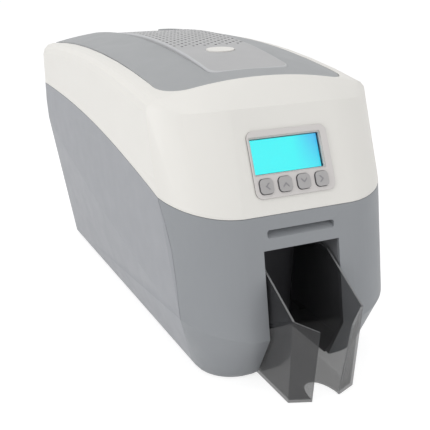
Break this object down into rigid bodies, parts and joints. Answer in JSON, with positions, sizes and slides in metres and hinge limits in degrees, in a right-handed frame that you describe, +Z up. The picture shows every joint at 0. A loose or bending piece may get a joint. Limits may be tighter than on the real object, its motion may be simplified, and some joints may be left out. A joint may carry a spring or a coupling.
{
  "type": "id card printer",
  "caption": "Desktop ID card printer with hinged white top cover, gray lid, key panel with lit display and smoke card stacker",
  "frame": {"origin": "centre of the bounding box in plan, at the underside of the rubber feet", "axes": "X to the right seen from the front, Y from the front (stacker) to the rear (sockets), Z up"},
  "size_m": [0.204, 0.453, 0.2492],
  "materials": {
    "bezel_gray": "fine texture",
    "housing_gray": "fine texture",
    "fascia_gray": "fine texture",
    "cover_white": "fine texture",
    "lid_gray": "fine texture",
    "panel_gray": "fine texture",
    "key_gray": "smooth",
    "clear_window": "clear",
    "screen": "lit panel",
    "board_green": "coated board",
    "smoke_clear": "tinted clear",
    "bay_gray": "fine texture",
    "black_plastic": "fine texture",
    "rubber_black": "ground",
    "clean_blue": "tacky",
    "sheet_steel": "zinc plated",
    "steel_rod": "ground",
    "brass": "turned",
    "ribbon": "film",
    "motor_black": "satin",
    "head_alu": "extruded",
    "gear_plastic": "moulded",
    "switch_red": "moulded"
  },
  "bodies": {
    "lid": {"lid_cover": "lid_gray", "lid_panel": "panel_gray", "head_bracket": "black_plastic", "head_pin": "steel_rod"},
    "button": {"release_button": "cover_white"},
    "latch": {"latch_bar": "black_plastic"},
    "stacker_tray": {"stacker": "smoke_clear"},
    "door": {"feeder_door": "cover_white"},
    "weight": {"card_weight": "sheet_steel"},
    "switch_rocker": {"power_switch": "switch_red"},
    "head": {"print_head": "head_alu"},
    "platen": {"platen_roller": "rubber_black"},
    "exit_drive": {"exit_roller": "rubber_black"},
    "feed_drive": {"feed_roller": "rubber_black"},
    "idler_drive": {"cleaning_idler": "rubber_black"},
    "pick": {"pick_roller": "rubber_black"},
    "motor_shaft": {"motor_pulley": "steel_rod"},
    "exit_pinch": {"exit_pinch_roller": "steel_rod"},
    "feed_pinch": {"feed_pinch_roller": "steel_rod"},
    "clean": {"cleaning_roller": "clean_blue"},
    "supply": {"supply_spool": "ribbon"},
    "takeup": {"takeup_spool": "ribbon"},
    "ribbon_gear": {"ribbon_idler": "gear_plastic"},
    "ribbon_shaft": {"ribbon_pinion": "gear_plastic"},
    "key_left": {"key_left": "key_gray"},
    "key_up_arrow": {"key_up_arrow": "key_gray"},
    "key_down_arrow": {"key_down_arrow": "key_gray"},
    "key_right": {"key_right": "key_gray"},
    "printer": {"lower_housing": "housing_gray", "front_fascia": "fascia_gray", "upper_cover": "cover_white", "rear_panel": "housing_gray", "hinge_pins": "steel_rod", "display_bezel": "bezel_gray", "display_window": "clear_window", "display_module": "screen", "key_board": "board_green", "stacker_bay": "bay_gray", "rubber_feet": "rubber_black", "base_tray": "sheet_steel", "frame_left": "sheet_steel", "frame_right": "sheet_steel", "tie_bars": "steel_rod", "bushes": "brass", "ribbon_film": "ribbon", "ribbon_guides": "steel_rod", "drive_motor": "motor_black", "drive_belt": "rubber_black", "ribbon_motor": "steel_rod", "card_magazine": "black_plastic", "door_pins": "steel_rod", "main_board": "board_green", "power_supply": "sheet_steel", "power_inlet": "black_plastic", "data_sockets": "steel_rod"}
  },
  "joints": [
    {"name": "lid_hinge", "type": "hinge", "parent": "printer", "child": "lid", "pos_m": [0, 0.2155, 0.226], "axis": [-1, 0, 0], "range_deg": [0, 95]},
    {"name": "release_press", "type": "slide", "parent": "lid", "child": "button", "axis": [0, 0, -1], "range_m": [0, 0.0025], "stiffness_N_per_m": 260},
    {"name": "latch_slide", "type": "slide", "parent": "lid", "child": "latch", "axis": [0, 1, 0], "range_m": [0, 0.004]},
    {"name": "key_left_press", "type": "slide", "parent": "printer", "child": "key_left", "axis": [0, 0.9126, -0.4089], "range_m": [0, 0.0008], "stiffness_N_per_m": 480},
    {"name": "key_up_arrow_press", "type": "slide", "parent": "printer", "child": "key_up_arrow", "axis": [0, 0.9126, -0.4089], "range_m": [0, 0.0008], "stiffness_N_per_m": 480},
    {"name": "key_down_arrow_press", "type": "slide", "parent": "printer", "child": "key_down_arrow", "axis": [0, 0.9126, -0.4089], "range_m": [0, 0.0008], "stiffness_N_per_m": 480},
    {"name": "key_right_press", "type": "slide", "parent": "printer", "child": "key_right", "axis": [0, 0.9126, -0.4089], "range_m": [0, 0.0008], "stiffness_N_per_m": 480},
    {"name": "stacker_slide", "type": "slide", "parent": "printer", "child": "stacker_tray", "axis": [0, -1, 0], "range_m": [0, 0.045]},
    {"name": "door_hinge", "type": "hinge", "parent": "printer", "child": "door", "pos_m": [0, 0.2192, 0.1208], "axis": [-1, 0, 0], "range_deg": [0, 85]},
    {"name": "weight_slide", "type": "slide", "parent": "printer", "child": "weight", "axis": [0, 0, 1], "range_m": [0, 0.06]},
    {"name": "switch_rock", "type": "hinge", "parent": "printer", "child": "switch_rocker", "pos_m": [-0.04, 0.216, 0.078], "axis": [0, 0, 1], "range_deg": [0, 14]},
    {"name": "head_tilt", "type": "hinge", "parent": "lid", "child": "head", "pos_m": [0, 0.024, 0.158], "axis": [-1, 0, 0], "range_deg": [0, 4], "stiffness_Nm_per_rad": 4},
    {"name": "platen_turn", "type": "hinge", "parent": "printer", "child": "platen", "pos_m": [0, 0.008, 0.118], "axis": [1, 0, 0], "continuous": true},
    {"name": "exit_turn", "type": "hinge", "parent": "printer", "child": "exit_drive", "pos_m": [0, -0.084, 0.12], "axis": [1, 0, 0], "continuous": true},
    {"name": "feed_turn", "type": "hinge", "parent": "printer", "child": "feed_drive", "pos_m": [0, 0.058, 0.12], "axis": [1, 0, 0], "continuous": true},
    {"name": "idler_turn", "type": "hinge", "parent": "printer", "child": "idler_drive", "pos_m": [0, 0.098, 0.12], "axis": [1, 0, 0], "continuous": true},
    {"name": "pick_turn", "type": "hinge", "parent": "printer", "child": "pick", "pos_m": [0, 0.152, 0.1174], "axis": [1, 0, 0], "continuous": true},
    {"name": "motor_turn", "type": "hinge", "parent": "printer", "child": "motor_shaft", "pos_m": [0, 0.01, 0.086], "axis": [1, 0, 0], "continuous": true},
    {"name": "exit_pinch_turn", "type": "hinge", "parent": "printer", "child": "exit_pinch", "pos_m": [0, -0.084, 0.1318], "axis": [1, 0, 0], "continuous": true},
    {"name": "feed_pinch_turn", "type": "hinge", "parent": "printer", "child": "feed_pinch", "pos_m": [0, 0.058, 0.1318], "axis": [1, 0, 0], "continuous": true},
    {"name": "clean_turn", "type": "hinge", "parent": "printer", "child": "clean", "pos_m": [0, 0.098, 0.1338], "axis": [1, 0, 0], "continuous": true},
    {"name": "supply_turn", "type": "hinge", "parent": "printer", "child": "supply", "pos_m": [0, 0.06, 0.16], "axis": [1, 0, 0], "continuous": true},
    {"name": "takeup_turn", "type": "hinge", "parent": "printer", "child": "takeup", "pos_m": [0, -0.046, 0.16], "axis": [1, 0, 0], "continuous": true},
    {"name": "ribbon_gear_turn", "type": "hinge", "parent": "printer", "child": "ribbon_gear", "pos_m": [0, -0.046, 0.128], "axis": [1, 0, 0], "continuous": true},
    {"name": "ribbon_shaft_turn", "type": "hinge", "parent": "printer", "child": "ribbon_shaft", "pos_m": [0, -0.046, 0.106], "axis": [1, 0, 0], "continuous": true}
  ],
  "couplings": [
    {"joint": "exit_turn", "follows": "platen_turn", "ratio": 1.3333},
    {"joint": "feed_turn", "follows": "platen_turn", "ratio": 1.3333},
    {"joint": "idler_turn", "follows": "platen_turn", "ratio": 1.3333},
    {"joint": "pick_turn", "follows": "platen_turn", "ratio": 1.3333},
    {"joint": "motor_turn", "follows": "platen_turn", "ratio": 1.3333},
    {"joint": "ribbon_gear_turn", "follows": "takeup_turn", "ratio": -1},
    {"joint": "ribbon_shaft_turn", "follows": "takeup_turn", "ratio": 2.6667},
    {"joint": "latch_slide", "follows": "release_press", "ratio": 1.6}
  ]
}
